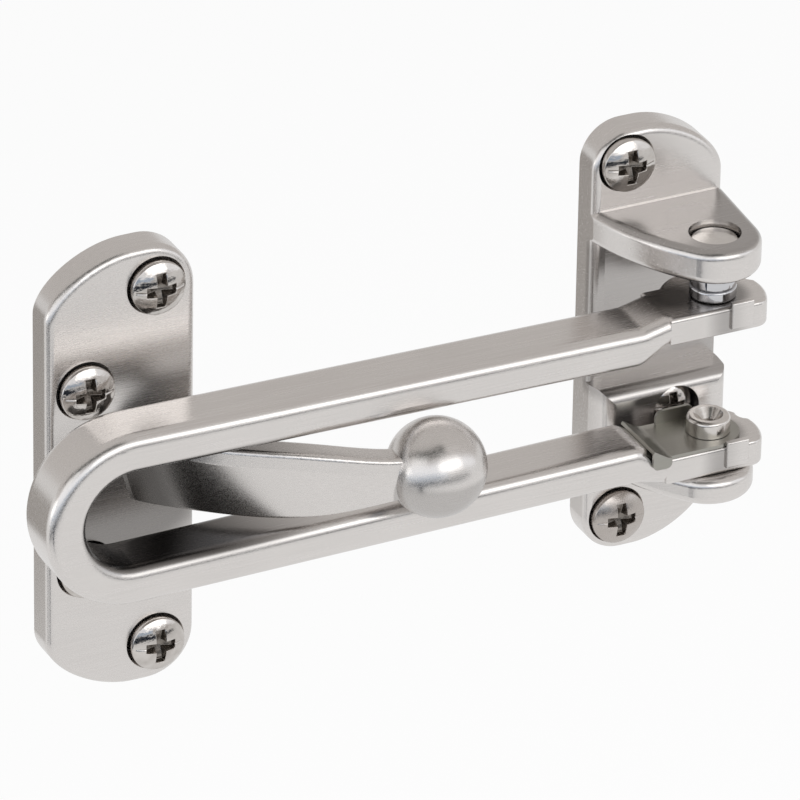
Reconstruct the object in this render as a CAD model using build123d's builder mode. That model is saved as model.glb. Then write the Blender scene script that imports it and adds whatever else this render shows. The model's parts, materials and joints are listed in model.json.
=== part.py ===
"""Swing bar door guard: a U-shaped bar hinged on a screwed bracket, over a ball on a screwed plate.

Sizes are in mm. Z is up, the wall is at Y = 0 and the fronts face -Y. The origin is the centre of
the bracket's back, and the bar runs along X to the ball plate at negative X.
"""

import os
from math import acos, atan2, cos, degrees, hypot, radians, sin, tan

from build123d import *

# Both plates
plate_flat = 2.0
plate_slope_drop = 9.7
plate_round = 1.3
# How far the slopes' control points lie along the tangents, where a quarter ellipse has 0.55
slope_curve = 0.47

# Hinge bracket
bracket_height = 70.2
bracket_width = 21.4
bracket_corner = 6.2
bracket_plate = 4.9
ear_thickness = 5.5
lower_ear_thickness = 4.3
ear_tip_radius = 6.9
ear_flank_angle = 140.0
ear_round = 1.4
pin_x = 2.8
pin_out = 17.3
boss_top = -5.8
boss_out = 9.0
boss_round = 2.0
pocket_depth = 1.2
pocket_rim = 2.1

# Rivets and washers on the hinge axis
rivet_radius = 2.3
running_gap = 0.05
stack_gap = 0.08
upper_head_radius = 3.6
upper_head_height = 2.6
upper_head_sunk = 1.0
upper_head_gap = 0.3
tail_radius = 3.3
tail_height = 0.8
head_edge = 0.3
washer_radius = 3.5
lower_washer_thickness = 1.8
upper_washer_thickness = 2.7
washer_edge = 0.35
lower_head_radius = 3.3
lower_head_height = 2.6
lower_head_round = 0.6
lower_dimple_radius = 2.2
lower_dimple_depth = 1.4

# Swing bar
bar_level = -1.35
bar_end_x = -105.3
bar_end_height = 27.6
bar_hinge_height = 25.6
bar_section = 6.1
bar_depth = 9.9
bar_round = 1.9
joggle_x = -8.6
joggle_length = 4.2
joggle_bend = 3.0
eye_height = 27.6
eye_section = 4.4
eye_radius = 8.0
eye_corner = 0.7
eye_front_corner = 2.2
eye_round = 0.65
tab_start = 0.4
tab_width = 3.7
tab_step = 0.6
tab_depth = 0.75
tab_rise = 0.9
tab_short = 1.0
tab_round = 0.35
heel_angle = -49.0
heel_reach = 8.1
heel_radius = 2.4
notch_angle = -22.0
notch_radius = 1.8
notch_depth = 0.6

# Spring clip
clip_sheet = 0.5
clip_gap = 0.04
clip_ramp = 2.6
clip_hole_gap = 0.15
clip_end_radius = 4.7
clip_lip = 1.1
clip_lip_width = 3.2
clip_wing_width = 6.3
clip_wing_rise = 2.6
clip_wing_corner = 1.2
clip_wing_x = -0.4
clip_corner = 0.8

# Ball plate, arm and ball
ball_plate_x = -86.4
ball_plate_level = -3.1
ball_plate_height = 71.6
ball_plate_width = 23.4
ball_plate_corner = 7.5
ball_plate_thickness = 5.0
ball_x = -45.7
ball_out = 25.0
ball_radius = 7.45
arm_out = 25.2
arm_curve = 47.0
arm_thickness = 4.3
arm_end_x = -47.0
arm_root_height = 13.6
arm_band = 2.6
arm_round = 0.7
# Sections of the arm, from the ball to the root: turn, inset of the edges, setback of the top
arm_sections = (
    (0.0, 3.05, 0.7),
    (9.0, 2.95, 0.8),
    (17.0, 1.75, 1.4),
    (25.0, 0.95, 2.0),
    (42.0, 0.6, 2.6),
    (59.0, 0.0, 2.8),
)

# Screws with oval heads and cross recesses
screw_radius = 2.1
screw_length = 8.5
screw_point = 3.0
head_radius = 4.2
head_rim = 1.1
head_dome = 1.3
head_angle = 82.0
head_gap = 0.4
shank_gap = 0.3
recess_width = 1.3
recess_span = 5.0
recess_depth = 2.3
recess_taper = 8.0
slot_width = 0.6
slot_depth = 0.4
bracket_screw_x = -5.5
bracket_screw_inset = 5.6
bracket_screw_lift = 0.45
middle_head_radius = 3.45
middle_screw_x = 1.9
middle_screw_drop = 4.9
middle_screw_sunk = 2.6
ball_screw_near_x = 5.4
ball_screw_inset = 6.4
ball_screw_far_x = -5.7
ball_screw_step = 14.7

# Levels that follow from the sizes above
pin_y = -pin_out
bar_back = pin_y + bar_depth / 2
bar_front = pin_y - bar_depth / 2
upper_eye_top = bar_level + eye_height / 2
upper_eye_under = upper_eye_top - eye_section
lower_eye_under = bar_level - eye_height / 2
lower_eye_top = lower_eye_under + eye_section
middle_washer_gap = upper_eye_top + stack_gap + lower_washer_thickness
upper_ear_under = middle_washer_gap + stack_gap + upper_washer_thickness + stack_gap
upper_ear_top = upper_ear_under + ear_thickness
lower_ear_top = lower_eye_under - stack_gap
lower_ear_under = lower_ear_top - lower_ear_thickness
head_cone = (head_radius - screw_radius) / tan(radians(head_angle / 2))
eye_end_x = pin_x + eye_radius
bracket_screw_rise = bracket_height / 2 - bracket_screw_inset
middle_screw_level = boss_top - middle_screw_drop
middle_screw_size = middle_head_radius / head_radius
ball_screw_near_rise = ball_plate_height / 2 - ball_screw_inset
ball_screw_far_rise = ball_screw_near_rise - ball_screw_step


def plate_outline(height, width, corner, tight):
    """Draws a plate's outline: round corners on one side (tight is 1 or -1), long slopes on the other."""
    top = height / 2
    near = tight * width / 2
    corner_start = near - tight * corner
    slope_start = corner_start - tight * plate_flat
    reach = 1 - slope_curve
    Line((near, corner - top), (near, top - corner))
    Line((-near, plate_slope_drop - top), (-near, top - plate_slope_drop))
    for up in (1, -1):
        Line((corner_start, up * top), (slope_start, up * top))
        RadiusArc((near, up * (top - corner)), (corner_start, up * top), corner * -up * tight)
        Bezier(
            (slope_start, up * top),
            (-near + (slope_start + near) * reach, up * top),
            (-near, up * (top - plate_slope_drop * reach)),
            (-near, up * (top - plate_slope_drop)),
        )


def ear_outline():
    """Draws an ear seen from above, from the wall round the hinge axis and back."""
    side = bracket_width / 2
    front = -bracket_plate
    run_x = side - pin_x
    run_y = front - pin_y
    right = degrees(atan2(run_y, run_x) - acos(ear_tip_radius / hypot(run_x, run_y)))
    left = -ear_flank_angle
    points = [
        (pin_x + ear_tip_radius * cos(radians(a)), pin_y + ear_tip_radius * sin(radians(a)))
        for a in (right, (right + left) / 2, left)
    ]
    flank = (cos(radians(left - 90)), sin(radians(left - 90)))
    Polyline((-side, front), (-side, 0), (side, 0), (side, front), points[0])
    ThreePointArc(*points)
    TangentArc(points[2], (-side, front), tangent=flank)


def screw_seat(sunk, size=1.0):
    """Returns the space that a screw of a size needs, from its shank to sunk above its rim's seat."""
    with BuildPart() as seat:
        with BuildSketch(Plane.XY):
            with BuildLine():
                Polyline(
                    (0, screw_length),
                    (screw_radius + shank_gap, screw_length),
                    (screw_radius + shank_gap, head_cone - shank_gap),
                    (head_radius + head_gap, 0),
                    (head_radius + head_gap, -sunk / size),
                    (0, -sunk / size),
                    close=True,
                )
            make_face()
        revolve(axis=Axis.Y)
        scale(by=size)
    return seat.part


def eye_outline():
    """Draws an eye of the bar seen from above: a disc with a flat front, a heel and a notch."""
    with Locations((pin_x, pin_y)):
        Circle(eye_radius)
    with Locations((joggle_x + joggle_length / 2, pin_y)):
        Rectangle(pin_x - joggle_x, bar_depth, align=(Align.MIN, Align.CENTER))
    heel = heel_reach - heel_radius
    turn = radians(-heel_angle)
    with Locations((pin_x + heel * cos(turn), pin_y + heel * sin(turn))):
        Circle(heel_radius)
    with Locations((pin_x, bar_front)):
        Rectangle(4 * eye_radius, 4 * eye_radius, align=(Align.CENTER, Align.MAX), mode=Mode.SUBTRACT)
    notch = eye_radius + notch_radius - notch_depth
    turn = radians(-notch_angle)
    with Locations((pin_x + notch * cos(turn), pin_y + notch * sin(turn))):
        Circle(notch_radius, mode=Mode.SUBTRACT)


# Screw, its rim's seat at the origin and its point along +Y
with BuildPart() as screw:
    with BuildSketch(Plane.XY):
        with BuildLine():
            Line((0, -head_rim - head_dome), (0, screw_length))
            Polyline(
                (0, screw_length),
                (screw_radius, screw_length - screw_point),
                (screw_radius, head_cone),
                (head_radius, 0),
                (head_radius, -head_rim),
            )
            dome_radius = (head_radius**2 + head_dome**2) / (2 * head_dome)
            RadiusArc((head_radius, -head_rim), (0, -head_rim - head_dome), dome_radius)
        make_face()
    revolve(axis=Axis.Y)
    with BuildSketch(Plane.XZ.offset(head_rim + head_dome)):
        Rectangle(recess_width, recess_span)
        Rectangle(recess_span, recess_width)
    extrude(amount=-recess_depth, taper=recess_taper, mode=Mode.SUBTRACT)
    with BuildSketch(Plane.XZ.offset(head_rim + head_dome - slot_depth)):
        Rectangle(2 * head_radius, slot_width)
    extrude(amount=head_dome, mode=Mode.SUBTRACT)

# Hinge bracket: two ears, a boss and a plate in one casting
ears = []
for under, thickness in ((upper_ear_under, ear_thickness), (lower_ear_under, lower_ear_thickness)):
    with BuildPart() as ear:
        with BuildSketch(Plane.XY.offset(under)):
            with BuildLine():
                ear_outline()
            make_face()
        extrude(amount=thickness)
        rims = ear.faces().filter_by(Axis.Z).edges()
        fillet(rims.filter_by(lambda e: e.center().Y < -bracket_plate), ear_round)
    ears.append(ear.part)

with BuildPart() as boss:
    with BuildSketch(Plane.XY.offset(boss_top)):
        with BuildLine():
            ear_outline()
        make_face()
        Rectangle(2 * bracket_width, 2 * boss_out, mode=Mode.INTERSECT)
    extrude(amount=lower_ear_under - boss_top + ear_round)
    front = boss.faces().sort_by(Axis.Y)[0]
    fillet(front.edges().filter_by(lambda e: e.center().Z > lower_ear_top), boss_round)

with BuildPart() as hinge_bracket:
    with BuildSketch(Plane.XZ):
        with BuildLine():
            plate_outline(bracket_height, bracket_width, bracket_corner, -1)
        make_face()
    extrude(amount=bracket_plate)
    fillet(hinge_bracket.faces().sort_by(Axis.Y)[0].edges(), plate_round)
    with Locations((pocket_rim - bracket_width / 2, -bracket_plate, boss_top)):
        Box(
            bracket_width,
            2 * pocket_depth,
            upper_ear_under - boss_top,
            align=(Align.MIN, Align.CENTER, Align.MIN),
            mode=Mode.SUBTRACT,
        )
    for ear_part in ears:
        add(ear_part)
    add(boss.part)
    with Locations((pin_x, pin_y, upper_ear_top)):
        Cylinder(
            rivet_radius,
            ear_thickness,
            align=(Align.CENTER, Align.CENTER, Align.MAX),
            mode=Mode.SUBTRACT,
        )
        Cylinder(
            upper_head_radius + upper_head_gap,
            upper_head_sunk + upper_head_height,
            align=(Align.CENTER, Align.CENTER, Align.MAX),
            mode=Mode.SUBTRACT,
        )
    with Locations((pin_x, pin_y, lower_ear_top)):
        Cylinder(
            rivet_radius,
            lower_ear_thickness,
            align=(Align.CENTER, Align.CENTER, Align.MAX),
            mode=Mode.SUBTRACT,
        )
    for up in (1, -1):
        with Locations((bracket_screw_x, -bracket_plate, bracket_screw_lift + up * bracket_screw_rise)):
            add(screw_seat(head_dome), mode=Mode.SUBTRACT)
    with Locations((middle_screw_x, middle_screw_sunk - boss_out, middle_screw_level)):
        add(screw_seat(middle_screw_sunk, middle_screw_size), mode=Mode.SUBTRACT)
hinge_bracket.part.label = "hinge_bracket"

# Upper rivet: its head sits in the ear's recess and its tail is spread under the upper eye
with BuildPart() as upper_rivet:
    with Locations((pin_x, pin_y, upper_ear_top - upper_head_sunk)):
        Cylinder(upper_head_radius, upper_head_height, align=(Align.CENTER, Align.CENTER, Align.MAX))
    chamfer(upper_rivet.faces().sort_by(Axis.Z)[-1].edges(), head_edge)
    tail_top = upper_eye_under - stack_gap
    with Locations((pin_x, pin_y, tail_top)):
        Cylinder(
            rivet_radius,
            upper_ear_top - upper_head_sunk - upper_head_height - tail_top,
            align=(Align.CENTER, Align.CENTER, Align.MIN),
        )
        Cylinder(tail_radius, tail_height, align=(Align.CENTER, Align.CENTER, Align.MAX))
    fillet(upper_rivet.faces().sort_by(Axis.Z)[0].edges(), head_edge)
upper_rivet.part.label = "upper_rivet"

# Lower rivet: its head is rolled over the clip and its tail is spread under the lower ear
with BuildPart() as lower_rivet:
    seat_level = lower_eye_top + clip_gap + clip_sheet + stack_gap
    with Locations((pin_x, pin_y, seat_level)):
        Cylinder(lower_head_radius, lower_head_height, align=(Align.CENTER, Align.CENTER, Align.MIN))
    fillet(lower_rivet.faces().sort_by(Axis.Z)[-1].edges(), lower_head_round)
    with Locations((pin_x, pin_y, seat_level)):
        Cylinder(rivet_radius, seat_level - lower_ear_under, align=(Align.CENTER, Align.CENTER, Align.MAX))
    with Locations((pin_x, pin_y, lower_ear_under)):
        Cylinder(tail_radius, tail_height, align=(Align.CENTER, Align.CENTER, Align.MAX))
    fillet(lower_rivet.faces().sort_by(Axis.Z)[0].edges(), head_edge)
    with Locations((pin_x, pin_y, seat_level + lower_head_height)):
        Cone(
            lower_dimple_radius / 2,
            lower_dimple_radius,
            lower_dimple_depth,
            align=(Align.CENTER, Align.CENTER, Align.MAX),
            mode=Mode.SUBTRACT,
        )
lower_rivet.part.label = "lower_rivet"

# Washers between the upper ear and the upper eye
washers = []
for level, thickness in (
    (upper_eye_top + stack_gap, lower_washer_thickness),
    (middle_washer_gap + stack_gap, upper_washer_thickness),
):
    with BuildPart() as washer:
        with Locations((pin_x, pin_y, level)):
            Cylinder(washer_radius, thickness, align=(Align.CENTER, Align.CENTER, Align.MIN))
        fillet(washer.edges(), washer_edge)
        with Locations((pin_x, pin_y, upper_eye_top)):
            Cylinder(rivet_radius + running_gap, eye_height, mode=Mode.SUBTRACT)
    washers.append(washer.part)
washers[0].label = "upper_washer_a"
washers[1].label = "upper_washer_b"

# Swing bar
with BuildPart() as eye:
    for level in (upper_eye_under, lower_eye_under):
        with BuildSketch(Plane.XY.offset(level)) as eye_plan:
            eye_outline()
            corners = eye_plan.vertices().filter_by(lambda v: v.X > pin_x).sort_by(Axis.Y)
            fillet(corners[1:], eye_corner)
            fillet(eye_plan.vertices().filter_by(lambda v: v.X > pin_x).sort_by(Axis.Y)[:1], eye_front_corner)
        extrude(amount=eye_section)
    fillet(eye.faces().filter_by(Axis.Z).edges(), eye_round)

with BuildPart() as tab:
    Box(
        tab_width,
        bar_depth / 2,
        eye_section - tab_short,
        align=(Align.MIN, Align.MIN, Align.MAX),
    )
    Box(tab_width, tab_depth, tab_rise, align=(Align.MIN, Align.MIN, Align.MIN))
    fillet(tab.faces().sort_by(Axis.Y)[0].edges(), tab_round)

with BuildPart() as swing_bar:
    end_radius = bar_end_height / 2
    end_centre = bar_end_x + end_radius
    joggle_start = joggle_x - joggle_length / 2
    joggle_end = joggle_x + joggle_length / 2
    outer = [
        (end_centre, end_radius),
        (joggle_start, bar_hinge_height / 2),
        (joggle_end, eye_height / 2),
        (pin_x, eye_height / 2),
    ]
    inner = [
        (end_centre, end_radius - bar_section),
        (joggle_start, bar_hinge_height / 2 - bar_section),
        (joggle_end, eye_height / 2 - eye_section),
        (pin_x, eye_height / 2 - eye_section),
    ]
    with BuildSketch(Plane.XZ.offset(-bar_back)) as bar_side:
        with Locations((0, bar_level)):
            with BuildLine():
                for up in (1, -1):
                    Polyline(*[(x, bar_level + up * z) for x, z in outer + inner[::-1]])
                for radius in (end_radius, end_radius - bar_section):
                    ThreePointArc(
                        (end_centre, bar_level + radius),
                        (end_centre - radius, bar_level),
                        (end_centre, bar_level - radius),
                    )
        make_face()
        bends = bar_side.vertices().filter_by(lambda v: end_centre / 2 < v.X < pin_x / 2)
        fillet(bends, joggle_bend)
    extrude(amount=bar_depth)
    long_edges = swing_bar.faces().filter_by(Axis.Y).edges()
    fillet(long_edges.filter_by(lambda e: e.center().X < joggle_end), bar_round)
    add(eye.part)
    for level in (upper_eye_top, lower_eye_top):
        with Locations((pin_x + tab_start, bar_front - tab_step, level)):
            add(tab.part)
    with Locations((pin_x, pin_y, bar_level)):
        Cylinder(rivet_radius + running_gap, 2 * eye_height, mode=Mode.SUBTRACT)
swing_bar.part.label = "swing_bar"

# Spring clip, a sheet on the lower eye that follows the bar's joggle up at its free end
with BuildPart() as spring_clip:
    flat = lower_eye_top + clip_gap
    rise = (eye_height / 2 - eye_section) - (bar_hinge_height / 2 - bar_section)
    slope = atan2(rise, joggle_length)
    free_x = joggle_end - clip_ramp
    free_z = flat + clip_ramp * tan(slope)
    lift_x = clip_sheet * sin(slope)
    lift_z = clip_sheet * cos(slope)
    bend_x = joggle_end + clip_sheet * tan(slope / 2)
    with BuildSketch(Plane.XZ.offset(-bar_back)):
        with BuildLine():
            FilletPolyline((eye_end_x, flat), (joggle_end, flat), (free_x, free_z), radius=joggle_bend)
            FilletPolyline(
                (eye_end_x, flat + clip_sheet),
                (bend_x, flat + clip_sheet),
                (free_x + lift_x, free_z + lift_z),
                radius=joggle_bend - clip_sheet,
            )
            Line((eye_end_x, flat), (eye_end_x, flat + clip_sheet))
            Line((free_x, free_z), (free_x + lift_x, free_z + lift_z))
        make_face()
    extrude(amount=bar_depth + clip_gap + clip_sheet)
    with BuildSketch(Plane.XY.offset(flat - clip_sheet)):
        with Locations((pin_x, bar_back)):
            Rectangle(4 * eye_radius, bar_depth, align=(Align.MAX, Align.MAX))
        with Locations((pin_x, pin_y)):
            Circle(clip_end_radius)
        with Locations((free_x - clip_sheet, pin_y)):
            Rectangle(clip_lip_width + clip_sheet, bar_depth, align=(Align.MIN, Align.MAX))
    extrude(amount=eye_section, mode=Mode.INTERSECT)
    with BuildSketch(Plane.XZ.offset(-bar_front + clip_gap)):
        with BuildLine():
            Polyline(
                (free_x + lift_x / 2, free_z + lift_z / 2),
                (free_x + lift_x / 2, flat - clip_lip),
                (free_x + clip_lip_width, flat - clip_lip),
                (free_x + clip_lip_width, flat + clip_sheet / 2),
                (bend_x, flat + clip_sheet / 2),
                close=True,
            )
        lip = make_face()
        fillet(lip.vertices().sort_by(Axis.Y)[:2], clip_corner)
    extrude(amount=clip_sheet)
    with BuildSketch(Plane.XZ.offset(-bar_back)):
        with Locations((clip_wing_x, flat)):
            wing = Rectangle(clip_wing_width, clip_wing_rise, align=(Align.CENTER, Align.MIN))
        fillet(wing.vertices().sort_by(Axis.Y)[-2:], clip_wing_corner)
    extrude(amount=clip_sheet)
    with Locations((pin_x, pin_y, flat)):
        Cylinder(rivet_radius + clip_hole_gap, eye_section, mode=Mode.SUBTRACT)
spring_clip.part.label = "spring_clip"

# Ball plate: plate, curved arm and ball in one casting
with BuildPart() as arm:
    for angle, inset, setback in arm_sections:
        turn = radians(angle)
        across = (sin(turn), cos(turn), 0)
        along = (-cos(turn), sin(turn), 0)
        middle = (
            arm_end_x - arm_curve * sin(turn),
            arm_curve - arm_out - arm_curve * cos(turn),
            bar_level,
        )
        half = arm_root_height / 2 - inset
        side = arm_thickness / 2
        with BuildSketch(Plane(middle, x_dir=across, z_dir=along)):
            with BuildLine():
                Polyline(
                    (side, -half),
                    (side, half),
                    (setback - side, half),
                    (-side, arm_band - half),
                    (-side, -half),
                    close=True,
                )
            section = make_face()
            fillet(section.vertices(), arm_round)
    loft()

with BuildPart() as ball_plate:
    with BuildSketch(Plane((ball_plate_x, 0, ball_plate_level), x_dir=(1, 0, 0), z_dir=(0, -1, 0))):
        with BuildLine():
            plate_outline(ball_plate_height, ball_plate_width, ball_plate_corner, 1)
        make_face()
    extrude(amount=ball_plate_thickness)
    fillet(ball_plate.faces().sort_by(Axis.Y)[0].edges(), plate_round)
    add(arm.part)
    with Locations((ball_x, -ball_out, bar_level)):
        Sphere(ball_radius)
    for x, rise in ((ball_screw_near_x, ball_screw_near_rise), (ball_screw_far_x, ball_screw_far_rise)):
        for up in (1, -1):
            with Locations((ball_plate_x + x, -ball_plate_thickness, ball_plate_level + up * rise)):
                add(screw_seat(head_dome), mode=Mode.SUBTRACT)
ball_plate.part.label = "ball_plate"

nodes = [hinge_bracket.part, upper_rivet.part, lower_rivet.part, *washers, swing_bar.part]
nodes += [spring_clip.part, ball_plate.part]

# Each screw where its seat is
for name, size, x, out, level in (
    ("bracket_screw_top", 1, bracket_screw_x, bracket_plate, bracket_screw_lift + bracket_screw_rise),
    (
        "bracket_screw_middle",
        middle_screw_size,
        middle_screw_x,
        boss_out - middle_screw_sunk,
        middle_screw_level,
    ),
    ("bracket_screw_bottom", 1, bracket_screw_x, bracket_plate, bracket_screw_lift - bracket_screw_rise),
    (
        "ball_screw_top",
        1,
        ball_plate_x + ball_screw_near_x,
        ball_plate_thickness,
        ball_plate_level + ball_screw_near_rise,
    ),
    (
        "ball_screw_upper",
        1,
        ball_plate_x + ball_screw_far_x,
        ball_plate_thickness,
        ball_plate_level + ball_screw_far_rise,
    ),
    (
        "ball_screw_lower",
        1,
        ball_plate_x + ball_screw_far_x,
        ball_plate_thickness,
        ball_plate_level - ball_screw_far_rise,
    ),
    (
        "ball_screw_bottom",
        1,
        ball_plate_x + ball_screw_near_x,
        ball_plate_thickness,
        ball_plate_level - ball_screw_near_rise,
    ),
):
    with BuildPart() as placed:
        with Locations((x, -out, level)):
            add(scale(screw.part, by=size, mode=Mode.PRIVATE))
    placed.part.label = name
    nodes.append(placed.part)

os.makedirs("parts", exist_ok=True)
for node in nodes:
    export_step(node, f"parts/{node.label}.step")
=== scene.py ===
# %% [markdown]
# A swing bar door guard, dressed for its picture.
# The real one is three castings in satin nickel: a hinge bracket, a U-shaped bar and a plate with
# an arm and a ball. Two rivets join the bar to the bracket, and bright screws hold both plates.
# The castings come from the CAD model as they are, because their shapes are right. What Blender
# adds is their finish, and finer shapes for the screws.

# %% Load the CAD model as the frame
import json

import bpy
import numpy as np
from mathutils import Matrix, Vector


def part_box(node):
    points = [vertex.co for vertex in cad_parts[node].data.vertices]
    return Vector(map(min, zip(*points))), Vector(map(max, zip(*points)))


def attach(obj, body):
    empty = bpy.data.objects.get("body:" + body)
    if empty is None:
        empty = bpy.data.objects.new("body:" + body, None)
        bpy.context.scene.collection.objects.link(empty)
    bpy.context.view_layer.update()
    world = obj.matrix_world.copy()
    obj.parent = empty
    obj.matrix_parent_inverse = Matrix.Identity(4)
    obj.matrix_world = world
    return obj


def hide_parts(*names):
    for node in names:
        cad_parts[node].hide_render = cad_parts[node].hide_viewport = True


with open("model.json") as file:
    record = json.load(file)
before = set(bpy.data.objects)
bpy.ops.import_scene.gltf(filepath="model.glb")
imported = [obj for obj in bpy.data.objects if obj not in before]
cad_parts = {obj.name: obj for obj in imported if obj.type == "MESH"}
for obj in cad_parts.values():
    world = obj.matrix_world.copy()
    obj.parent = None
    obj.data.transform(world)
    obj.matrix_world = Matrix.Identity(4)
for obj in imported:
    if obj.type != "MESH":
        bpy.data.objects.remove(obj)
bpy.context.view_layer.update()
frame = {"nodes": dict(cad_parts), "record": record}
MM = 0.001
print("nodes:", ", ".join(sorted(frame["nodes"])))

# %% [markdown]
# The camera is a long lens far away, as for a product picture, so the guard has almost no
# perspective. Its place follows from three turns: how far it stands to the left of straight on, how
# far above, and how much the picture itself is turned. A point of the guard that is easy to find in
# the picture fixes where it looks, and the scale at that point gives the length of the lens.

# %% Camera
AZIMUTH, ELEVATION, ROLL = np.radians([-26.4, 28.8, -1.0])
DISTANCE = 1300 * MM
PIXELS_PER_MM = 6.90
FRAME_PIXELS = 800
SENSOR = 36.0
KNOWN_POINT = np.array([-47.26, -15.0, -1.3]) * MM
KNOWN_PIXEL = np.array([396.30, 437.72])


def new_object(name, data):
    """A new object in the scene that holds the given data: a mesh, a camera or a lamp."""
    thing = bpy.data.objects.new(name, data)
    bpy.context.scene.collection.objects.link(thing)
    return thing


def placed(x_axis, y_axis, z_axis, place):
    """The matrix that turns an object's three axes to the given ones and moves it to a place."""
    matrix = np.eye(4)
    matrix[:3] = np.stack([x_axis, y_axis, z_axis, place], axis=-1)
    return Matrix(matrix.tolist())


back = np.array([
    np.sin(AZIMUTH) * np.cos(ELEVATION),
    -np.cos(AZIMUTH) * np.cos(ELEVATION),
    np.sin(ELEVATION),
])
level_right = np.array([np.cos(AZIMUTH), np.sin(AZIMUTH), 0.0])
level_up = np.cross(back, level_right)
right = np.cos(ROLL) * level_right - np.sin(ROLL) * level_up
up = np.sin(ROLL) * level_right + np.cos(ROLL) * level_up
to_middle = (FRAME_PIXELS / 2 - KNOWN_PIXEL) * [1, -1] / PIXELS_PER_MM * MM

camera_data = bpy.data.cameras.new("camera")
camera_data.sensor_width = SENSOR
camera_data.lens = PIXELS_PER_MM / MM * DISTANCE * SENSOR / FRAME_PIXELS
camera = new_object("camera", camera_data)
camera.matrix_world = placed(
    right, up, back, KNOWN_POINT + to_middle[0] * right + to_middle[1] * up + DISTANCE * back)
bpy.context.scene.camera = camera
bpy.context.scene.view_settings.view_transform = "Standard"
print("lens of", round(camera_data.lens, 1), "mm on a sensor of", SENSOR, "mm")

# %% [markdown]
# Every colour below is written as the hex value that it has on a screen. Blender works in linear
# light, so one function turns a hex value into linear red, green and blue. Another adds a node to a
# material with its settings and its links in one line, which keeps a material as short as a recipe.
# Two more use it for the nodes that come most often: sums, and mixes of two colours.

# %% Colour and node helpers
MIX_FIRST, MIX_SECOND, MIX_RESULT = 6, 7, 2  # where a mix node keeps its colours


def linear(hex_value):
    """A screen colour in linear light: c/12.92 when dark, else ((c + 0.055)/1.055)^2.4."""
    c = np.array([int(hex_value[i:i + 2], 16) for i in (1, 3, 5)]) / 255
    return [*np.where(c <= 0.04045, c / 12.92, ((c + 0.055) / 1.055) ** 2.4).tolist(), 1.0]


def add(tree, kind, inputs=(), **settings):
    """Adds a node, gives it its settings, and sets or links its inputs from (name, value) pairs."""
    node = tree.nodes.new(kind)
    for name, value in settings.items():
        setattr(node, name, value)
    for name, value in dict(inputs).items():
        if isinstance(value, bpy.types.NodeSocket):
            tree.links.new(value, node.inputs[name])
        else:
            node.inputs[name].default_value = value
    return node


def compute(tree, operation, *values):
    """The result of a maths node. Each value is a number or another node's output."""
    return add(tree, "ShaderNodeMath", dict(enumerate(values)), operation=operation).outputs[0]


def blend(tree, share, first, second, **settings):
    """A mix of two colours, in which the second one has the given share."""
    mix = add(tree, "ShaderNodeMix", {"Factor": share, MIX_FIRST: first, MIX_SECOND: second},
              data_type="RGBA", **settings)
    return mix.outputs[MIX_RESULT]


def new_material(name):
    """An empty material and its node tree, with the output node in it."""
    material = bpy.data.materials.new(name)
    material.use_nodes = True
    material.node_tree.nodes.clear()
    output = add(material.node_tree, "ShaderNodeOutputMaterial")
    return material, material.node_tree, output


# %% [markdown]
# Bright metal shows its surroundings more than itself, so the studio is part of the finish. The
# guard stands over a plain pale floor in a pale room. The floor is a matt white board, lifted
# towards white for the camera and for reflections, so it keeps some of the guard's shadow.
# Reflections see the floor and the room a little dimmer than the camera does. That leaves room
# above them for the brighter bands of the studio to stand out in the metal.

# %% Floor
FLOOR_LEVEL = -0.30
FLOOR_HALF = 6.0
FLOOR_LINES = 9
FLOOR_LIFT = 0.75
IN_REFLECTIONS = 0.84


def piece_from_faces(name, vertices, faces):
    """A smooth object in the scene, made from its vertices and the corner numbers of its faces."""
    mesh = bpy.data.meshes.new(name)
    mesh.from_pydata(vertices.tolist(), [], faces)
    mesh.shade_smooth()
    return new_object(name, mesh)


def sheet_from_grid(name, points):
    """A mesh from a grid of points (rows, columns, 3), one square face to each cell of the grid."""
    rows, columns = points.shape[:2]
    index = np.arange(rows * columns).reshape(rows, columns)
    corners = [index[:-1, :-1], index[:-1, 1:], index[1:, 1:], index[1:, :-1]]
    faces = np.stack(corners, axis=-1).reshape(-1, 4)
    return piece_from_faces(name, points.reshape(-1, 3), faces.tolist())


def seen_and_dimmed(tree):
    """1 where the camera or a reflection looks, else 0; and a brightness, lower in reflections."""
    path = add(tree, "ShaderNodeLightPath")
    glossy = path.outputs["Is Glossy Ray"]
    seen = compute(tree, "MAXIMUM", path.outputs["Is Camera Ray"], glossy)
    seen = compute(tree, "MAXIMUM", seen, path.outputs["Is Transmission Ray"])
    return seen, compute(tree, "MULTIPLY_ADD", glossy, IN_REFLECTIONS - 1, 1.0)


steps = np.linspace(-FLOOR_HALF, FLOOR_HALF, FLOOR_LINES)
across, along = np.meshgrid(steps, steps)
level = np.full_like(across, FLOOR_LEVEL)
floor = sheet_from_grid("floor", np.stack([across, along, level], axis=-1))
board, tree, output = new_material("matt_white_board")
seen, dimmed = seen_and_dimmed(tree)
lift = compute(tree, "MULTIPLY", seen, FLOOR_LIFT)
matt = add(tree, "ShaderNodeBsdfDiffuse", {"Color": linear("#f4f4f4")})
white = add(tree, "ShaderNodeEmission", {"Color": linear("#ffffff"), "Strength": dimmed})
mixed = add(tree, "ShaderNodeMixShader", {0: lift, 1: matt.outputs[0], 2: white.outputs[0]})
tree.links.new(mixed.outputs[0], output.inputs["Surface"])
floor.data.materials.append(board)
print("floor at", FLOOR_LEVEL, "m")

# %% [markdown]
# The room around it is white for the camera and for reflections, and a softer grey as the light
# that falls on matt things.

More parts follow.
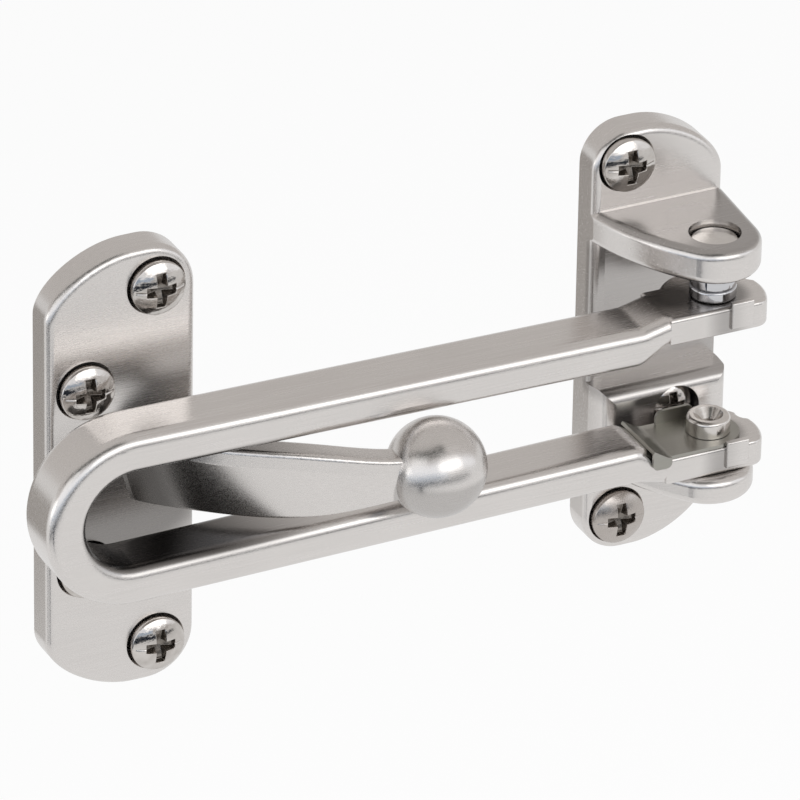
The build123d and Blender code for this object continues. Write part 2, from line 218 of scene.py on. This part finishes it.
# %% World
AMBIENT = 0.8
world = bpy.data.worlds.new("pale_room")
bpy.context.scene.world = world
world.use_nodes = True
tree = world.node_tree
tree.nodes.clear()
seen, dimmed = seen_and_dimmed(tree)
ambient = add(tree, "ShaderNodeBackground", {"Color": linear("#ffffff"), "Strength": AMBIENT})
room = add(tree, "ShaderNodeBackground", {"Color": linear("#ffffff"), "Strength": dimmed})
mixed = add(tree, "ShaderNodeMixShader", {0: seen, 1: ambient.outputs[0], 2: room.outputs[0]})
add(tree, "ShaderNodeOutputWorld", {"Surface": mixed.outputs[0]})
print("world set")

# %% [markdown]
# What a studio has around the object is what gives polished metal its contrast. The guard's ball
# shows it all, as a mirror ball would: one long bright arch from far left over the front to the
# right, a dark line right under it, and a dark gap above it. Here they are bands on spheres around
# the guard, which only reflections can see. A band follows a path. Each point of the path is a
# bearing, measured from straight in front and positive to the right, the height of the band's
# middle as an angle, and half its width. All are in degrees. Where two bands cross, the one on the
# smaller sphere is in front.

# %% Studio surroundings
BAND_COLUMNS, BAND_ROWS = 65, 17
STUDIO_CENTRE = np.array([-45.0, -15.0, 0.0]) * MM


def studio_band(name, path, radius, colour, strength):
    """A band of a sphere along a path: x = r cos(h) sin(b), y = -r cos(h) cos(b), z = r sin(h)."""
    bearings, middles, halves = np.array(path, float).T
    b = np.linspace(bearings[0], bearings[-1], BAND_COLUMNS)
    off_middle = np.linspace(-1, 1, BAND_ROWS)[:, None] * np.interp(b, bearings, halves)
    h = np.radians(np.interp(b, bearings, middles) + off_middle)
    b = np.broadcast_to(np.radians(b), h.shape)
    ball = np.stack([np.cos(h) * np.sin(b), -np.cos(h) * np.cos(b), np.sin(h)], axis=-1)
    band = sheet_from_grid(name, radius * ball + STUDIO_CENTRE)
    card, tree, output = new_material(name + "_card")
    shine = add(tree, "ShaderNodeEmission", {"Color": linear(colour), "Strength": strength})
    tree.links.new(shine.outputs[0], output.inputs["Surface"])
    band.data.materials.append(card)
    band.visible_camera = False
    band.visible_diffuse = False
    band.visible_shadow = False
    band.visible_transmission = False


studio_band("grey_ceiling", [(-180, 49, 41), (180, 49, 41)], 1.10, "#f5f1ee", 0.66)
studio_band("bright_arch", [(-112, -13, 4), (-100, -3, 8), (-85, 4, 11), (-60, 12, 12),
                            (-30, 21, 14), (0, 28, 15), (30, 27, 13), (55, 17, 10), (75, 7, 6)],
            0.90, "#f4f6fa", 1.28)
studio_band("front_window", [(-18, 27, 9), (10, 28, 11), (38, 25, 9)], 0.88, "#ffffff", 2.2)
studio_band("left_window", [(-106, -4, 4), (-96, 0, 7), (-86, 4, 7)], 0.88, "#ffffff", 2.2)
studio_band("left_glow", [(-92, 20, 7), (-75, 27, 9), (-52, 36, 6)], 0.97, "#ffffff", 1.15)
studio_band("blue_line", [(-92, -12, 3), (-60, -4, 4), (-30, 5, 4), (0, 9, 3)],
            0.87, "#b9cbe0", 0.9)
studio_band("dark_line", [(-96, -26, 3), (-60, -17, 6), (-30, -8, 6), (0, -4, 5), (30, -4, 4),
                          (52, -6, 2)], 0.56, "#3a424e", 0.5)
studio_band("dark_gap", [(-95, 38, 6), (-70, 47, 9), (-40, 57, 11), (-10, 64, 11), (15, 64, 8)],
            0.95, "#4f514e", 0.8)
studio_band("dark_stripe", [(-64, -28, 11), (-54, -28, 11)], 0.55, "#27344d", 0.4)
studio_band("dark_spot", [(-112, 27, 6), (-98, 32, 8)], 0.94, "#55524f", 0.8)
studio_band("side_below", [(-178, -18, 13), (-128, -18, 13)], 0.57, "#b4b0ac", 0.85)
print("studio bands set")

# %% [markdown]
# One large soft lamp stands above and in front, for the light on the floor and its soft shadow.
# Reflections don't see it, because the arch above is what they show in its place.

# %% Lamp
LAMP_PLACE = np.array([0.35, -0.75, 1.15])
LAMP_WIDTH, LAMP_HEIGHT, LAMP_WATTS = 0.9, 0.5, 9.0
lamp_data = bpy.data.lights.new("soft_lamp", "AREA")
lamp_data.shape = "RECTANGLE"
lamp_data.size, lamp_data.size_y = LAMP_WIDTH, LAMP_HEIGHT
lamp_data.energy = LAMP_WATTS
lamp = new_object("soft_lamp", lamp_data)
lamp.visible_glossy = False
towards = (STUDIO_CENTRE - LAMP_PLACE) / np.linalg.norm(STUDIO_CENTRE - LAMP_PLACE)
side = np.cross(towards, [0, 0, 1.0])
side /= np.linalg.norm(side)
lamp.matrix_world = placed(side, np.cross(-towards, side), -towards, LAMP_PLACE)
print("lamp of", LAMP_WATTS, "W")

# %% [markdown]
# Satin nickel on a casting. The zinc casting is ground with a belt or a wheel, which leaves fine
# lines all one way, and then nickel is plated over it, thin enough to keep the lines. The lines are
# a noise pattern that is stretched along the direction of grinding and squeezed across it. Real
# ones are about 0.1 mm apart. They are drawn 0.25 mm apart, because finer ones would not show at
# this size. The same noise moves the roughness a little, so a highlight breaks up into streaks.
#
# In a slot, in a corner and between parts the metal lies in shade, and that shade is painted into
# its colour as a dark grey mixed in. Those places are given by their own shape: the inside of the
# bar's slot, its eyes round the pin, the root of the arm, and the bracket between its two ears. The
# ball gets some of it all over. Each of three functions works them out for one casting, as a share
# of painted shade from 0 to 1 at every place. All their lengths are in millimetres.

# %% Where painted shade goes
SLOT_END_X, SLOT_Z, SLOT_RADIUS = -91.5, -1.35, 7.7
PIN, NECKS = (2.8, -17.3, 0.0), (-3.0, -15.8, 0.0)
EARS_MIDDLE_Z, EAR_TOP_Z = 5.0, 22.69
ARM_ROOT, BALL_CENTRE = (-86.0, 0.0, -9.5), (-45.7, -25.0, -3.1)
OFF_BRACKET_Y, OFF_BALL_PLATE_Y = -5.2, -5.6  # a little in front of each plate's face
UPRIGHT, OVAL = (1, 1, 0), (0.6, 0, 1)  # weights of x, y and z in a distance

# Where the painted shade is at its full amount, where it is gone, and the amount.
SLOT_WALL, ALONG_SLOT = (SLOT_RADIUS + 0.1, SLOT_RADIUS + 1.4, 1.0), (-80, -56, 0.9)
ROUND_PIN, ROUND_NECKS = (4.0, 6.4, 0.6), (2.0, 6.6, 0.85)
FROM_EARS_MIDDLE, FROM_EAR_TOP = (11, 13.5, 0.35), (0.2, 0.9, 0.42)
UP_THE_ARM, BESIDE_ROOT, ROUND_BALL = (-9, -18, 0.9), (5.5, 10, 0.65), (7.5, 7.8, 0.30)
FRONT_ONLY = (-3.5, -2.5, 1.0)  # so that nothing reaches a plate's sides and back


def fall(tree, value, full_at, gone_at, amount):
    """The given amount up to one value, then less and less, down to nothing at the other value."""
    ends = {"From Min": full_at * MM, "From Max": gone_at * MM, "To Min": amount, "To Max": 0.0}
    return add(tree, "ShaderNodeMapRange", {"Value": value, **ends},
               interpolation_type="SMOOTHSTEP").outputs[0]


def distance(tree, place, point, weights=(1, 1, 1)):
    """How far a place is from a point, with a weight for each axis: |w (place - point)|."""
    weighted = add(tree, "ShaderNodeVectorMath", {0: place, 1: weights}, operation="MULTIPLY")
    target = (np.array(weights) * point * MM).tolist()
    return add(tree, "ShaderNodeVectorMath", {0: weighted.outputs[0], 1: target},
               operation="DISTANCE").outputs["Value"]


def shade_in_slot_and_eyes(tree, place):
    """Painted shade where hypot(min(x - x0, 0), z - z0) is the slot's radius, and by pin and necks.
    """
    x, _, z = add(tree, "ShaderNodeSeparateXYZ", {"Vector": place}).outputs
    dx = compute(tree, "MINIMUM", compute(tree, "SUBTRACT", x, SLOT_END_X * MM), 0.0)
    dz = compute(tree, "SUBTRACT", z, SLOT_Z * MM)
    out = add(tree, "ShaderNodeCombineXYZ", {"X": dx, "Z": dz}).outputs[0]
    wall = fall(tree, distance(tree, out, (0, 0, 0)), *SLOT_WALL)
    slot = compute(tree, "MULTIPLY", wall, fall(tree, x, *ALONG_SLOT))
    eyes = fall(tree, distance(tree, place, PIN, UPRIGHT), *ROUND_PIN)
    necks = fall(tree, distance(tree, place, NECKS, UPRIGHT), *ROUND_NECKS)
    return compute(tree, "MAXIMUM", slot, compute(tree, "MAXIMUM", eyes, necks))


def shade_between_the_ears(tree, place):
    """A third of painted shade between the ears and on the boss's top, a little more on the upper
    ear.
    """
    _, y, z = add(tree, "ShaderNodeSeparateXYZ", {"Vector": place}).outputs
    from_middle = compute(tree, "ABSOLUTE", compute(tree, "SUBTRACT", z, EARS_MIDDLE_Z * MM))
    from_top = compute(tree, "ABSOLUTE", compute(tree, "SUBTRACT", z, EAR_TOP_Z * MM))
    top = compute(tree, "MULTIPLY", fall(tree, from_top, *FROM_EAR_TOP),
                  compute(tree, "LESS_THAN", y, OFF_BRACKET_Y * MM))
    both = compute(tree, "MAXIMUM", fall(tree, from_middle, *FROM_EARS_MIDDLE), top)
    return compute(tree, "MULTIPLY", both, fall(tree, y, *FRONT_ONLY))


def shade_on_root_and_ball(tree, place):
    """Painted shade: high at the arm's root and beside it on the plate, none along the arm, some on
    the ball.
    """
    _, y, _ = add(tree, "ShaderNodeSeparateXYZ", {"Vector": place}).outputs
    beside = fall(tree, distance(tree, place, ARM_ROOT, OVAL), *BESIDE_ROOT)
    beside = compute(tree, "MULTIPLY", beside, fall(tree, y, *FRONT_ONLY))
    on_plate = compute(tree, "GREATER_THAN", y, OFF_BALL_PLATE_Y * MM)
    on_arm = compute(tree, "MULTIPLY", fall(tree, y, *UP_THE_ARM),
                     compute(tree, "SUBTRACT", 1.0, on_plate))
    root = compute(tree, "MULTIPLY_ADD", beside, on_plate, on_arm)
    ball = fall(tree, distance(tree, place, BALL_CENTRE), *ROUND_BALL)
    return compute(tree, "MAXIMUM", root, ball)


# %% Satin nickel, ground along a direction
# The dark grey that is mixed in as painted shade in the slot, round the pin and between parts.
PAINTED_SHADE_COLOUR = "#403d3b"
STREAK_SHADES = "#e9e9e9", "#ffffff"
LINE_DIRECTION = (1.0, 0.05, 0.08)  # along x, and tipped a little so that no face is square to it
QUARTER_TURN = 0.25


def satin_nickel(name, colours, roughness, apart, depth, blotch=12, painted_shade=None, brushed=0.0):
    """Ground and plated metal, with lines that are apart mm from each other along x, y and z.

    The lines are depth mm deep. From line to line the roughness changes between its two values, and
    over blotches of that many mm the colour changes between its two. The argument for painted shade
    gives the places in shade, where a dark grey is mixed into the colour as painted shade. brushed
    is how much wider a reflection is smeared across the lines, which run along x, than along them.
    """
    material, tree, output = new_material(name)
    place = add(tree, "ShaderNodeTexCoord").outputs["Object"]
    squeezed = add(tree, "ShaderNodeMapping",
                   {"Vector": place, "Scale": [1 / (gap * MM) for gap in apart]}).outputs[0]
    lines = add(tree, "ShaderNodeTexNoise", {"Vector": squeezed, "Scale": 1.0, "Detail": 4.0,
                                             "Roughness": 0.6}).outputs["Fac"]
    patches = add(tree, "ShaderNodeTexNoise", {"Vector": place, "Scale": 1 / (blotch * MM),
                                               "Detail": 2.0}).outputs["Fac"]
    shade = blend(tree, patches, *map(linear, colours))
    streak = blend(tree, lines, *map(linear, STREAK_SHADES))
    colour = blend(tree, 1.0, shade, streak, blend_type="MULTIPLY")
    # Painted shade: the dark grey is mixed into the colour where the given places lie in shade.
    if painted_shade:
        colour = blend(tree, painted_shade(tree, place), colour, linear(PAINTED_SHADE_COLOUR))
    rough = add(tree, "ShaderNodeMapRange", {"Value": lines, "From Min": 0.3, "From Max": 0.7,
                                             "To Min": roughness[0], "To Max": roughness[1]})
    bump = add(tree, "ShaderNodeBump", {"Height": lines, "Strength": 0.6, "Distance": depth * MM})
    inputs = {"Base Color": colour, "Metallic": 1.0, "Roughness": rough.outputs[0],
              "Normal": bump.outputs[0]}
    if brushed:
        line = add(tree, "ShaderNodeVectorTransform", {"Vector": LINE_DIRECTION},
                   vector_type="VECTOR", convert_from="OBJECT", convert_to="WORLD")
        inputs.update({"Tangent": line.outputs[0], "Anisotropic": brushed,
                       "Anisotropic Rotation": QUARTER_TURN})
    metal = add(tree, "ShaderNodeBsdfPrincipled", inputs)
    tree.links.new(metal.outputs[0], output.inputs["Surface"])
    return material


def dress(material, *names):
    """Puts a material on CAD nodes, in place of what they came with."""
    for name in names:
        for slot in frame["nodes"][name].material_slots:
            slot.material = material
        print(name, "wears", material.name)


GROUND_LINES = (14, 0.25, 0.25)
cast_bar = satin_nickel("satin_nickel_ground_lengthwise", ("#e3dfdc", "#eae6e3"), (0.20, 0.29),
                        GROUND_LINES, 0.006, painted_shade=shade_in_slot_and_eyes, brushed=0.45)
cast_plate = satin_nickel("satin_nickel_ground_across", ("#e2dedb", "#e9e5e2"), (0.22, 0.31),
                          GROUND_LINES, 0.009, painted_shade=shade_on_root_and_ball, brushed=0.35)
cast_bracket = satin_nickel("satin_nickel_ground_lightly", ("#e3dfdc", "#e9e5e2"), (0.22, 0.28),
                            GROUND_LINES, 0.003, painted_shade=shade_between_the_ears, brushed=0.35)
dress(cast_bar, "swing_bar")
dress(cast_plate, "ball_plate")
dress(cast_bracket, "hinge_bracket")

# %% [markdown]
# The washers are turned steel with a chrome-like polish, and the rivets are plated steel that the
# riveting left a little uneven. The clip is bare spring sheet as it comes off the roll, so it is
# duller and slightly olive. The screws are bright nickel on steel, except one that is darker and
# duller, and their recesses get a darker steel as painted shade.

# %% Polished steel, rivet steel, spring sheet and screws
polished = satin_nickel("polished_steel_turned", ("#c4c4c8", "#e2e2e4"), (0.05, 0.09),
                        (5, 5, 0.3), 0.004)
rivet_steel = satin_nickel("nickel_plated_rivet_steel", ("#dfdad5", "#e8e4e0"), (0.14, 0.24),
                           (1.2, 1.2, 1.2), 0.012)
spring_sheet = satin_nickel("cold_rolled_spring_sheet", ("#a3a19a", "#b4b2ab"), (0.28, 0.38),
                            (14, 0.4, 0.4), 0.01)
nickel_screw = satin_nickel("bright_nickel_on_screw_steel", ("#b3aca6", "#ebe7e3"), (0.07, 0.14),
                            (1.3, 1.3, 1.3), 0.09, blotch=2)
# A darker and duller nickel for one screw, the bracket's bottom one.
dull_screw = satin_nickel("darker_duller_nickel_on_screw_steel", ("#b9b1ab", "#cbc5c0"), (0.20, 0.32),
                          (0.7, 0.7, 0.7), 0.03, blotch=3)
# Painted shade: a darker steel for the faces deep in the screws' recesses.
recess_shade_steel = satin_nickel("steel_with_painted_shade_in_the_recess", ("#77716b", "#a09a94"), (0.16, 0.28),
                             (0.5, 0.5, 0.5), 0.04, blotch=1)
dress(polished, "upper_washer_a", "upper_washer_b")
dress(rivet_steel, "upper_rivet", "lower_rivet")
dress(spring_sheet, "spring_clip")

# %% [markdown]
# The screws have oval heads with a cross recess. A punch makes the recess, so its edges are
# slightly rounded, its arms rise towards their ends, and a fine crease runs out of it to the rim.
# The head is worked out here on a grid of rings and spokes. Each point's depth comes from how far
# inside the cross it lies. The shank and the point follow on the same grid, further rings on.
# The lengths are in millimetres, for the full-size head.

# %% Screws
SPOKES, HEAD_RINGS = 192, 76
HEAD_RADIUS, HEAD_DOME, HEAD_RIM, SHANK_RADIUS = 4.2, 1.3, 1.1, 2.1
HEAD_HALF_ANGLE = np.radians(41)
HEAD_CONE = (HEAD_RADIUS - SHANK_RADIUS) / np.tan(HEAD_HALF_ANGLE)
SCREW_LENGTH, SCREW_POINT = 8.5, 3.0
CROSS_WIDTH, CROSS_TALL, CROSS_WIDE, CROSS_DEPTH = 1.45, 5.3, 4.5, 1.9
CROSS_RISE = 0.5  # how much of its depth the recess has lost at the ends of its arms
EDGE_OUTSIDE, EDGE_WIDTH = 0.10, 0.32  # the rounded edge starts outside the cross and ends in it
CREASE_DEPTH, CREASE_HALF, CREASE_SIDE, CREASE_END = 0.14, 0.16, 0.12, 0.3
SHADED_BELOW = 0.45  # faces deeper than this get the darker steel, as painted shade in the recess


def smooth(t):
    """Rises from 0 to 1 as t does, level at both ends: 3t^2 - 2t^3."""
    t = np.clip(t, 0, 1)
    return t * t * (3 - 2 * t)


def cross_depth(u, v):
    """Depth of the recess: full where a point is well inside one of the cross's two arms."""
    upright = np.minimum(CROSS_WIDTH / 2 - np.abs(u), CROSS_TALL / 2 - np.abs(v))
    level = np.minimum(CROSS_WIDTH / 2 - np.abs(v), CROSS_WIDE / 2 - np.abs(u))
    inside = np.maximum(upright, level)
    deepest = CROSS_DEPTH * (1 - CROSS_RISE * smooth(np.hypot(u, v) / (CROSS_TALL / 2)))
    across = smooth((CREASE_HALF - np.abs(v)) / CREASE_SIDE)
    along = smooth((HEAD_RADIUS - CREASE_END - np.abs(u)) / CREASE_END)
    crease = CREASE_DEPTH * across * along
    return np.maximum(deepest * smooth((inside + EDGE_OUTSIDE) / EDGE_WIDTH), crease)


def screw_points(size):
    """A screw on rings and spokes, its rim's seat at y = 0 and its point along +y, times a size.

    The dome is part of a ball of radius (r^2 + d^2) / 2d. The profile below it is a list of
    (radius, depth): a slightly rounded rim, the cone, the shank and the point.
    """
    dome_radius = (HEAD_RADIUS**2 + HEAD_DOME**2) / (2 * HEAD_DOME)
    head_rings = np.linspace(0, HEAD_RADIUS - 0.12, HEAD_RINGS)
    sag = dome_radius - np.sqrt(dome_radius**2 - head_rings**2)
    spoke = np.radians(np.linspace(0, 360, SPOKES + 1))
    ring, angle = np.meshgrid(head_rings, spoke, indexing="ij")
    u, v = ring * np.cos(angle), ring * np.sin(angle)
    y = -HEAD_RIM - HEAD_DOME + sag[:, None] + cross_depth(u, v)
    head = np.stack([u, y, v], axis=-1)
    profile = np.array([
        (HEAD_RADIUS - 0.03, -HEAD_RIM - 0.02), (HEAD_RADIUS, -HEAD_RIM + 0.1),
        (HEAD_RADIUS, -0.1), (HEAD_RADIUS - 0.06, 0.05), (SHANK_RADIUS, HEAD_CONE),
        (SHANK_RADIUS, SCREW_LENGTH - SCREW_POINT), (0.0, SCREW_LENGTH),
    ])
    radius, depth = profile[:, :1], profile[:, 1:]
    body = np.stack([radius * np.cos(spoke), depth + 0 * spoke, radius * np.sin(spoke)], axis=-1)
    return size * np.concatenate([head, body])


def solid_from_rings(name, points):
    """A closed mesh from a grid of rings, of which the first and the last are a point each."""
    rings, spokes = points.shape[0] - 2, points.shape[1] - 1
    points = points[:, :-1]
    index = np.arange(rings * spokes).reshape(rings, spokes) + 1
    after = np.roll(index, -1, axis=1)
    sides = np.stack([index[:-1], after[:-1], after[1:], index[1:]], axis=-1).reshape(-1, 4)
    first = np.stack([np.zeros(spokes, int), after[0], index[0]], axis=-1)
    last = np.stack([index[-1], after[-1], np.full(spokes, rings * spokes + 1)], axis=-1)
    vertices = np.concatenate([points[0, :1], points[1:-1].reshape(-1, 3), points[-1, :1]])
    return piece_from_faces(name, vertices, first.tolist() + sides.tolist() + last.tolist())


def body_of_node(node):
    """The name of the moving body that a CAD node belongs to."""
    groups = frame["record"]["behaviour"]["bodies"]
    return next(body for body, nodes in groups.items() if node in nodes)


for node in sorted(n for n in frame["nodes"] if "_screw_" in n):
    low, high = (np.array(corner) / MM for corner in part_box(node))
    size = (high[0] - low[0]) / (2 * HEAD_RADIUS)
    centre = (low + high) / 2
    seat = np.array([centre[0], high[1] - size * SCREW_LENGTH, centre[2]])
    piece = solid_from_rings(node + "_polished", (screw_points(size) + seat) * MM)
    piece.data.materials.append(dull_screw if node == "bracket_screw_bottom" else nickel_screw)
    piece.data.materials.append(recess_shade_steel)
    middles = np.empty(3 * len(piece.data.polygons))
    piece.data.polygons.foreach_get("center", middles)
    u, y, v = ((middles.reshape(-1, 3) / MM - seat) / size).T
    # The faces deep in the cross get the second material, the painted shade of the recess.
    in_cross = (y < 0) & (cross_depth(u, v) > SHADED_BELOW)
    piece.data.polygons.foreach_set("material_index", in_cross.astype(np.int32))
    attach(piece, body_of_node(node))
    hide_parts(node)
    print(piece.name, len(piece.data.polygons), "faces")

# %% End of the scene
print("scene built")
